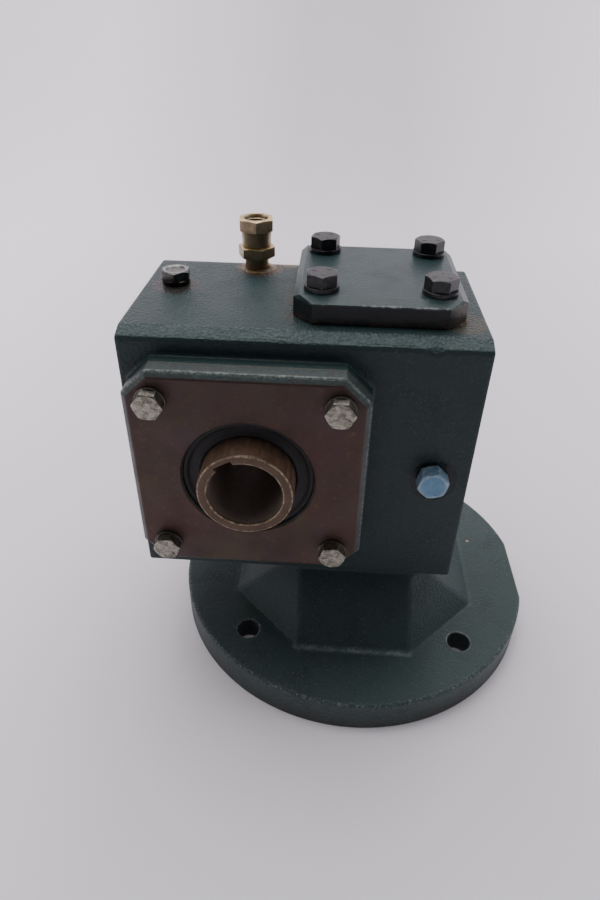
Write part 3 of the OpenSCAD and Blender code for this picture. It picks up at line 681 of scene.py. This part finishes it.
def boss_block(wall, way_out):
    """Square boss standing on the case wall, filleted into it and softened at its outer edge."""
    steps = [(-1.0, 1.8), (0.05, 1.8), (0.2, 1.2), (0.55, 0.62), (1.1, 0.22), (1.9, 0.0), (BOSS_T - 0.6, 0.0),
             (BOSS_T - 0.18, -0.18), (BOSS_T, -0.6)]
    rows = []
    for height, grow in steps:
        outline = cut_rect(BOSS + grow, BOSS + grow, BOSS_CUT + CUT_GROWTH * grow, OUT_X, OUT_Z)
        rows.append([(x, wall + way_out * height, z) for x, z in outline])
    return make("boss", loft(rows))


def gear_case():
    left, right, front, back, bottom, top = CASE.values()
    sections = 88
    stations = [left + (right - left) * i / sections for i in range(sections + 1)]
    bm = loft([[(x, y, z) for y, z in case_section(x)] for x in stations])
    bmesh.ops.dissolve_limit(bm, angle_limit=math.radians(0.05), verts=bm.verts, edges=bm.edges)
    ob = make("gear_case_casting", bm)
    near_end = lambda e: min(abs(mid(e).x - left), abs(mid(e).x - right)) < 0.01
    bevel_edges(ob, 1.7, 4, lambda e: turn(e) > 60 and near_end(e))
    boolean(ob, boss_block(front, -1), "UNION")
    boolean(ob, boss_block(back, 1), "UNION")
    # the machined hollow, with the worm's two bearing carriers left standing
    ends, sides = (left + 8.2, right - 8.2), (front + 8.5, back - 8.5)
    outline = [(ends[0], sides[0]), (ends[1], sides[0]), (ends[1], sides[1]), (ends[0], sides[1])]
    hollow = prism("hollow", outline, "z", bottom + 10, top - 10)
    bore(hollow, 42.6, bottom - 5, 98.5)
    bore(hollow, 38, 194, 236)
    boolean(ob, hollow)
    for y0, y1 in ((front - 9, front + 9.5), (back - 9.5, back + 9)):
        bore(ob, COVER_BORE, y0, y1, (OUT_X, 0, OUT_Z), "y", 96)
    for r, a, b in ((30, 70, 90), (34, 83, 123), (31, 192, 240)):
        bore(ob, r, a, b)
    for i, j in CORNERS:
        x, z = OUT_X + i * SCREW, OUT_Z + j * SCREW
        bore(ob, 4, front - 8, front + 7.2, (x, 0, z), "y", 24)
        bore(ob, 4, back - 7.2, back + 8, (x, 0, z), "y", 24)
        bore(ob, 4.76, top - 9.5, top + 3, (i * TOP_SCREW, j * TOP_SCREW, 0), "z", 24)
        bore(ob, 4, bottom - 1, bottom + 9.8, (i * TOP_SCREW, j * TOP_SCREW, 0), "z", 24)
    bore(ob, 6.85, front - 1, front + 10, (LEVEL[0], 0, LEVEL[2]), "y", 32)
    bore(ob, 6.85, top - 11, top + 2, (FILL[0], FILL[1], 0), "z", 32)
    bore(ob, 6.62, top - 11, top + 2, (VENT[0], VENT[1], 0), "z", 32)
    dress(ob, "case_paint", ("gear_case",))


def pedestal_ring(reach, z):
    """Octagon at height z whose four sides along the axes are reach away from the centre."""
    pts = []
    for i, j in ((1, 0), (0, 1), (-1, 0), (0, -1)):
        for k in (1, -1):
            pts.append((i * reach + k * j * PED_FACET, j * reach - k * i * PED_FACET, z))
    return pts


def motor_adapter():
    a0 = math.acos(FLAT_X / FLANGE_R)
    turns = [a0 + (2 * math.pi - 2 * a0) * i / 160 for i in range(161)]
    ob = prism("motor_adapter_casting", [(FLANGE_R * math.cos(t), FLANGE_R * math.sin(t)) for t in turns],
               "z", 0, FLANGE_T)
    bevel_edges(ob, 1.9, 4, lambda e: mid(e).z > FLANGE_T - 0.1)
    bevel_edges(ob, 0.8, 2, lambda e: mid(e).z < 0.1)
    sink = 3.0                              # how far the pedestal runs on into the flange
    foot = pedestal_ring(PED_FOOT + sink / PED_SLOPE, FLANGE_T - sink)
    head = pedestal_ring(PED_TOP_HALF, FLANGE_T + (PED_FOOT - PED_TOP_HALF) * PED_SLOPE)
    ped = make("pedestal", loft([foot, head]))
    bevel_edges(ped, 2.4, 4, lambda e: abs(way(e).z) > 0.3)
    neck = prism("neck", cut_rect(NECK, NECK, NECK_CUT), "z", 40, NECK_TOP)
    bevel_edges(neck, 1.2, 3, lambda e: abs(way(e).z) > 0.9)
    boolean(ped, neck, "UNION")
    bevel_edges(ped, 2.6, 4, lambda e: turn(e) > 22 and 46 < mid(e).z < 56 and abs(way(e).z) < 0.75)
    boolean(ob, ped, "UNION")
    at_foot = lambda e: abs(mid(e).z - FLANGE_T) < 0.2 and mid(e).xy.length < 95
    bevel_edges(ob, 2.6, 5, lambda e: turn(e) > 25 and at_foot(e))
    boolean(ob, cyl(29.95, NECK_TOP - 3, NECK_TOP + 4), "UNION")
    inside = [(0, -1), (107.95, -1), (107.95, 6.35), (64, 6.35), (64, 18), (36, 46), (36, 54), (31, 54),
              (31, 66), (26, 66), (26, 80), (0, 80)]
    boolean(ob, solid_lathe(inside, seg=128))
    bolt = [(0, -1), (6.75, -1), (6.75, FLANGE_T - 0.9), (7.1, FLANGE_T - 0.25), (7.8, FLANGE_T + 0.1),
            (7.8, FLANGE_T + 2), (0, FLANGE_T + 2)]
    for i, j in CORNERS:
        bore(ob, 7.2, 25, 58, (i * TOP_SCREW, j * TOP_SCREW, 0), "z", 32)
        bore(ob, 4.25, 50, 90, (i * TOP_SCREW, j * TOP_SCREW, 0), "z", 24)
        boolean(ob, solid_lathe(bolt, (i * BOLT_AT, j * BOLT_AT, 0), seg=48))
    dress(ob, "flange_paint", ("motor_adapter",), 35)


def output_cover(name, face, boss, bear, lip, side):
    """Machined square cover from face to boss, with a spigot down to lip and a bearing seat at bear."""
    ob = prism(name + "_casting", cut_rect(BOSS, BOSS, BOSS_CUT), "y", face, boss)
    bevel_edges(ob, COVER_BEVEL, 1, lambda e: mid(e).y < face + 0.05)
    bevel_edges(ob, 0.7, 3, lambda e: turn(e) > 15 and mid(e).y < boss - 0.1)
    boolean(ob, cyl(COVER_BORE - 0.03, boss - 1, lip, axis="y", seg=96), "UNION")
    seat = [(0, face - 1), (33.9, face - 1), (33.9, face), (33.7, face + 0.25), (33, face + 0.9),
            (33, bear - 10), (29, bear - 10), (29, bear - 8), (40, bear - 8), (40, lip + 1), (0, lip + 1)]
    boolean(ob, solid_lathe(seat, axis="y", seg=128))
    hole = [(0, face - 1), (4.9, face - 1), (4.3, face + 0.6), (4.3, boss + 1), (0, boss + 1)]
    for i, j in CORNERS:
        boolean(ob, solid_lathe(hole, (i * SCREW, 0, j * SCREW), "y", 32))
    dress(to_side(ob, side), name + "_iron", (name,))


def top_cover():
    base = CASE["top"] + GASKET
    ob = prism("top_cover_plate", cut_rect(41.5, 43.4, 9.5), "z", base, base + 30)
    for half, crease, axis in ((41.5, 38.2, "y"), (43.4, 36.8, "x")):
        outline = [(-half - 1, base - 1), (half + 1, base - 1), (half + 1, TOP_EDGE - 0.6), (half, TOP_EDGE),
                   (crease, TOP_FLAT), (-crease, TOP_FLAT), (-half, TOP_EDGE), (-half - 1, TOP_EDGE - 0.6)]
        boolean(ob, prism("slope", outline, axis, -70, 70), "INTERSECT")
    bevel_edges(ob, 0.55, 3, lambda e: turn(e) > 20 and mid(e).z > base + 0.1)
    boolean(ob, cyl(30.95, 212, base + 0.4, seg=96), "UNION")
    bore(ob, 26, 204, 220)
    for i, j in CORNERS:
        bore(ob, 5, CASE["top"] - 1, TOP_FLAT + 2, (i * TOP_SCREW, j * TOP_SCREW, 0), "z", 32)
    dress(ob, "top_cover_paint", ("top_cover",), 12)


# ---------------------------------------------------------------- shaft and seals
def output_shaft():
    r, hole, f, b = SHAFT_R, SHAFT_BORE, SHAFT_FRONT, SHAFT_BACK
    prof = [(hole + 1.3, f), (r - 1.4, f), (r - 0.5, f + 0.3), (r - 0.1, f + 0.9), (r, f + 1.8), (r, -62.6),
            (25, -62.4), (25, 49.9), (r, 50.1), (r, b - 1.8), (r - 0.1, b - 0.9), (r - 0.5, b - 0.3),
            (r - 1.4, b), (hole + 1.3, b), (hole + 0.4, b - 0.5), (hole, b - 1.5), (hole, f + 1.5),
            (hole + 0.4, f + 0.5)]
    ob = lathe("hollow_output_shaft", prof, (OUT_X, 0, OUT_Z), "y", 128)
    # the bore's key slot runs through, and the wheel key's seat is opposite it, outside
    for half, low, high, y0, y1, angle in ((KEY_WIDTH / 2, 10, 20.6, f - 1, b + 1, -KEY_TURN),
                                           (5, 22.2, 28.2, -18, 18, math.pi - KEY_TURN)):
        slot = prism("slot", [(-half, low), (half, low), (half, high), (-half, high)], "y", y0, y1)
        boolean(ob, put(slot, (OUT_X, 0, OUT_Z), Matrix.Rotation(angle, 3, "Y")))
    dress(ob, "output_shaft_steel", ("output_shaft",), body="output")


def lip_seal(node, y, side):
    """Oil seal: pressed outer ring, sunken web with a dust lip, and the inner lip on the shaft."""
    ro, ri, depth = 33.0, SHAFT_R + 0.055, 9.0
    prof = [(ro, 0.4), (ro - 0.4, 0.0), (ro - 1.5, 0.0), (ro - 2.2, 0.35), (ro - 2.9, 1.2), (ro - 3.7, 1.6),
            (ri + 3.6, 1.7), (ri + 2.8, 1.4), (ri + 2.2, 0.9), (ri + 1.4, 0.7), (ri + 0.6, 0.9), (ri, 1.5),
            (ri, 2.2), (ri + 1.2, 3.2), (ri + 0.3, depth * 0.6), (ri + 0.9, depth - 1.2),
            (ri + 2.6, depth - 1.6), (ri + 3.6, 4.0), (ro - 2.2, 4.0), (ro - 2.2, depth), (ro, depth)]
    ob = lathe(node + "_lip", prof, axis="y", seg=128)
    dress(to_side(ob, side, y), "seal_rubber", (node,), 50)


# ---------------------------------------------------------------- fasteners
def screw(af, head, shank, length):
    """Hexagon screw standing on z = 0, with a threaded shank of radius shank below."""
    pitch, threaded = 1.6, 0.8 * length
    turns = int(length / pitch)
    step = threaded / turns
    prof = [(0, -length), (shank - 0.9, -length), (shank, -length + 0.9)]
    for i in range(turns):
        z = -length + 1.0 + step * i
        for depth, along in ((0.45, 0.1), (0.02, 0.5), (0.45, 0.9)):
            prof.append((shank - depth, z + step * along))
    prof += [(shank, -length * 0.15), (shank, 0.4), (0, 0.4)]
    return boolean(hex_body(af, 0.0, head, 1.15), solid_lathe(prof, seg=32), "UNION")


def marked(base, top, inner, outer, tall, angle):
    """A copy of a screw, with three raised marks across its head at height top."""
    pieces = [add("copy", base.data.copy())]
    outline = [(inner, -0.45), (outer, -0.4), (outer, 0.4), (inner, 0.45)]
    for i in range(3):
        mark = prism("mark", outline, "z", top - 0.3, top + tall)
        bevel_edges(mark, 0.12, 2, lambda e: mid(e).z > top)
        pieces.append(put(mark, (0, 0, 0), spin(angle + 120 * i)))
    return join("marked", pieces)


def cover_screws(name, face, side):
    """The four screws of an output cover and the flat washers under them."""
    head = 5.3
    base = screw(12.7, head, 3.96, 24.5)
    flat = [(4.3, 0), (7.3, 0), (7.4, 0.15), (7.4, 1.2), (7.1, COVER_WASHER), (4.4, COVER_WASHER),
            (4.2, 1.35), (4.2, 0.15)]
    heads, rings = [], []
    for i, j in CORNERS:
        one = marked(base, head, 2.3, 5.3, 0.28, 25 + 50 * i + 20 * j)
        at = (i * SCREW, face, j * SCREW)
        heads.append(put(one, off(at, y=-COVER_WASHER), FACING_FRONT @ spin(3 + 2.5 * i - 5 * j)))
        rings.append(put(lathe("ring", flat, seg=48), at, FACING_FRONT))
    drop(base)
    dress(to_side(join(name + "_screws_hex", heads), side), "zinc_steel", (name + "_screws",), 28)
    dress(to_side(join(name + "_washers_rings", rings), side), "washer_steel", (name + "_washers",), 40)


def top_screws():
    """The four screws of the top cover and the split washers under them."""
    head = 6.0
    base = screw(14.3, head, 4.74, 23)
    split = [(5.1, 0), (8.3, 0), (8.6, 0.3), (8.6, 2.1), (8.3, SPLIT_WASHER), (5.1, SPLIT_WASHER),
             (4.95, 2.2), (4.95, 0.2)]
    heads, rings = [], []
    for i, j in CORNERS:
        at = (i * TOP_SCREW, j * TOP_SCREW, TOP_FLAT)
        one = marked(base, head, 3.2, 5.4, 0.16, 40 * i + 70 * j)
        heads.append(put(one, off(at, z=SPLIT_WASHER), spin(SCREW_TURNS[(i, j)])))
        ring = lathe("ring", split, seg=64)
        gap = prism("gap", [(3, -0.5), (11, -0.5), (11, 0.5), (3, 0.5)], "z", -3, 6)
        boolean(ring, put(gap, (0, 0, 0), spin(22, "X")))
        rings.append(put(ring, at, spin(90 + 25 * i + 20 * j)))
    drop(base)
    dress(join("top_cover_screws_hex", heads), "black_steel", ("top_cover_screws",), 28)
    dress(join("top_cover_washers_split", rings), "black_steel", ("top_cover_washers",), 40)


# ---------------------------------------------------------------- plugs and vent
def level_plug():
    ob = hex_body(14.3, 1.0, 9.0, 1.3)
    stub = [(0, -9.4), (6.2, -9.4), (6.8, -8.6), (6.8, 0.6), (7.0, 1.4), (0, 1.4)]
    boolean(ob, solid_lathe(stub), "UNION")
    ob.name = "level_plug_hex"
    dress(put(ob, LEVEL, FACING_FRONT @ spin(15)), "blue_plug_paint", ("level_plug",), 28)


def fill_plug():
    ob = hex_body(14.3, 2.3, 7.3, 1.0)
    collar = [(0, -10.4), (6.2, -10.4), (6.8, -9.4), (6.8, 0), (7.4, 0.2), (7.4, 2.3), (7.0, 2.6), (0, 2.6)]
    boolean(ob, solid_lathe(collar), "UNION")
    boolean(ob, solid_lathe([(0, 6.5), (4.3, 6.5), (4.7, 6.7), (5.5, 7.35), (5.6, 8.5), (0, 8.5)]))
    ob.name = "fill_plug_hex"
    dress(put(ob, FILL, spin(37)), "plug_steel", ("fill_plug",), 28)


def vent_bushing():
    ob = hex_body(18.2, 6.9, 12.9, 1.0, both=True)
    stub = [(0, -9), (6.0, -9), (6.55, -8), (6.6, 5.6), (6.9, 6.4), (6.9, 7.4), (0, 7.4)]
    boolean(ob, solid_lathe(stub), "UNION")
    boolean(ob, solid_lathe([(0, 12), (6.35, 12), (6.35, 16.6), (5.9, 17), (0, 17)]), "UNION")
    bore(ob, 3.5, -12, 20, (0, 0, 0), "z", 32)
    ob.name = "vent_bushing_hex"
    dress(put(ob, VENT, spin(-7)), "vent_brass", ("vent_bushing",), 28)


def vent_coupling():
    ob = hex_body(17.9, 21.4, 28.0, 0.9, both=True)
    neck = [(0, 13.0), (7.3, 13.0), (7.9, 13.6), (8.0, 16), (8.2, 20), (8.5, 21), (8.5, 22.4), (0, 22.4)]
    boolean(ob, solid_lathe(neck), "UNION")
    inside = [(0, 11), (6.4, 11), (6.4, 17.2), (5.9, 17.2), (5.9, 25), (6.5, 27.4), (7.0, 28.2),
              (7.0, 29), (0, 29)]
    boolean(ob, solid_lathe(inside))
    thread = []
    for k in range(7):
        z = 18.4 + k * 1.12
        ridge = [(6.15, z), (5.55, z + 0.42), (5.55, z + 0.55), (6.15, z + 0.95)]
        thread.append(lathe("ridge", ridge, seg=64))
    ob = join("vent_coupling_hex", [ob] + thread)
    dress(put(ob, VENT, spin(-22.8)), "vent_brass", ("vent_coupling",), 28)


# ---------------------------------------------------------------- sealant
def apply_putty(ob):
    smooth(ob, 70, False)
    ob.data.materials.append(PUTTY)
    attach(ob, "housing")


def vent_sealant():
    """Ragged ring of set sealant round the vent's foot."""
    turns = [2 * math.pi * i / 72 for i in range(72)]
    rows = []
    for k, (dr, h) in enumerate(((2.4, 0.0), (2.0, 0.35), (1.1, 0.75), (0.2, 1.0), (-0.4, 0.7))):
        row = []
        for t in turns:
            rag = 0.55 * math.sin(3 * t + 1) + 0.4 * math.sin(7 * t + 2) + 0.25 * math.sin(15 * t)
            r = 6.9 + dr + rag * (0.7 if k < 3 else 0.1) + (1.6 * max(0, math.cos(t)) if k < 2 else 0)
            z = 0.02 + h * (0.8 + 0.25 * math.sin(5 * t + 1))
            row.append(off(VENT, r * math.cos(t), r * math.sin(t), z))
        rows.append(row)
    rows.append([off(VENT, 6.4 * math.cos(t), 6.4 * math.sin(t), 0.02) for t in turns])
    apply_putty(make("vent_sealant", loft(rows + rows[:1], False)))


def cover_sealant():
    """Bead of set sealant squeezed out round one corner of the top cover."""
    path = ((41.5, -18), (41.5, -28), (41.5, -33.6), (39.2, -36.0), (35.2, -38.2), (28, -38.3))
    section = ((-0.8, 0.0), (-0.6, 1.2), (0.3, 0.9), (1.0, 0.45), (1.5, 0.0))
    rows, total = [], 46
    for i in range(total + 1):
        u = i / total * (len(path) - 1)
        k = min(int(u), len(path) - 2)
        p = Vector(path[k]).lerp(Vector(path[k + 1]), u - k)
        away = p.normalized()
        fat = math.sin(math.pi * i / total) ** 0.5
        size = (0.55 + 0.3 * math.sin(i * 0.9) + 0.22 * math.sin(i * 2.3 + 1)) * fat + 0.12
        rows.append([(*(p + away * q * size), CASE["top"] + 0.02 + w * size) for q, w in section])
    apply_putty(make("top_cover_sealant", loft(rows)))


# ---------------------------------------------------------------- build
FRONT_BOSS, REAR_BOSS = CASE["front"] - BOSS_T - GASKET, CASE["back"] + BOSS_T + GASKET
SEAL_SET_IN = 2.2

gear_case()
motor_adapter()
output_cover("front_cover", FRONT_FACE, FRONT_BOSS, -54.5, -48.0, 1)
output_cover("rear_cover", -REAR_FACE, -REAR_BOSS, -42.0, -34.6, -1)
top_cover()
output_shaft()
lip_seal("front_shaft_seal", FRONT_FACE + SEAL_SET_IN, 1)
lip_seal("rear_shaft_seal", REAR_FACE - SEAL_SET_IN, -1)
cover_screws("front_cover", FRONT_FACE, 1)
cover_screws("rear_cover", -REAR_FACE, -1)
top_screws()
level_plug()
fill_plug()
vent_bushing()
vent_coupling()
vent_sealant()
cover_sealant()

for part in frame["record"]["subparts"]:
    node = frame["nodes"][part["node"]]
    if not node.hide_render:
        node.data.materials.clear()
        node.data.materials.append(M[part["material_slot"]])


# ---------------------------------------------------------------- stage, light and camera
def stage():
    """Floor sheet that curves up into a backdrop behind the object."""
    start, radius = 850, 700
    bend = [math.radians(9 * i) for i in range(1, 11)]
    path = [(-3500, 0), (-1000, 0), (0, 0), (start, 0)]
    path += [(start + radius * math.sin(a), radius - radius * math.cos(a)) for a in bend]
    path += [(start + radius, 1600), (start + radius, 2600)]
    rows = [[(x, y, z) for x in (-4000, -1200, 0, 1200, 4000)] for y, z in path]
    sheet = make("backdrop", loft(rows, False, False))
    for p in sheet.data.polygons:
        p.use_smooth = True
    sheet.data.materials.append(glowing_floor_sheet("glowing_floor_sheet"))


def softbox(name, place_at, aim, width, power, height=None):
    data = bpy.data.lights.new(name, "AREA")
    data.shape = "RECTANGLE"
    data.size, data.size_y, data.energy = width, height or width, power
    ob = add(name, data)
    ob.location = place_at
    ob.rotation_euler = (Vector(aim) - Vector(place_at)).to_track_quat("-Z", "Y").to_euler()


def light():
    """Broad light from above, two weak fills, and a world that darkens towards the front."""
    softbox("overhead", (-0.15, 0.55, 1.7), (0.0, 0.25, 0.0), 1.8, 27, 1.4)
    softbox("fill_left", (-1.7, -0.2, 0.9), (0, 0, 0.1), 1.0, 5)
    softbox("fill_right", (1.7, -0.1, 0.9), (0, 0, 0.1), 1.0, 4)
    world = bpy.data.worlds.new("studio")
    scene.world = world
    world.use_nodes = True
    tree = world.node_tree
    back = tree.nodes["Background"]
    coords = tree.nodes.new("ShaderNodeTexCoord")
    split = tree.nodes.new("ShaderNodeSeparateXYZ")
    shift = tree.nodes.new("ShaderNodeMapRange")
    shift.inputs["From Min"].default_value, shift.inputs["From Max"].default_value = -1.0, 0.6
    fade = tree.nodes.new("ShaderNodeValToRGB")
    for stop, shade in zip(fade.color_ramp.elements, ((0.08, 0.085, 0.095, 1), (0.75, 0.76, 0.8, 1))):
        stop.color = shade
    tree.links.new(coords.outputs["Generated"], split.inputs[0])
    tree.links.new(split.outputs["Y"], shift.inputs["Value"])
    tree.links.new(shift.outputs["Result"], fade.inputs["Fac"])
    tree.links.new(fade.outputs["Color"], back.inputs["Color"])
    back.inputs["Strength"].default_value = 0.52


def camera():
    """Camera at the photograph's viewing angle."""
    data = bpy.data.cameras.new("camera")
    data.sensor_width, data.lens, data.clip_start = 36.0, 25.342, 0.01
    ob = add("camera", data)
    yaw, pitch, roll = (math.radians(v) for v in (-2.9414, 35.4096, 1.1850))
    ahead = Vector((math.sin(yaw) * math.cos(pitch), math.cos(yaw) * math.cos(pitch), -math.sin(pitch)))
    right = Vector((math.cos(yaw), -math.sin(yaw), 0))
    up = right.cross(ahead)
    r = right * math.cos(roll) + up * math.sin(roll)
    u = -right * math.sin(roll) + up * math.cos(roll)
    m = Matrix((r, u, -ahead)).transposed().to_4x4()
    m.translation = Vector((-0.0220, -0.32141, 0.34248))
    ob.matrix_world = m
    scene.camera = ob


stage()
light()
camera()
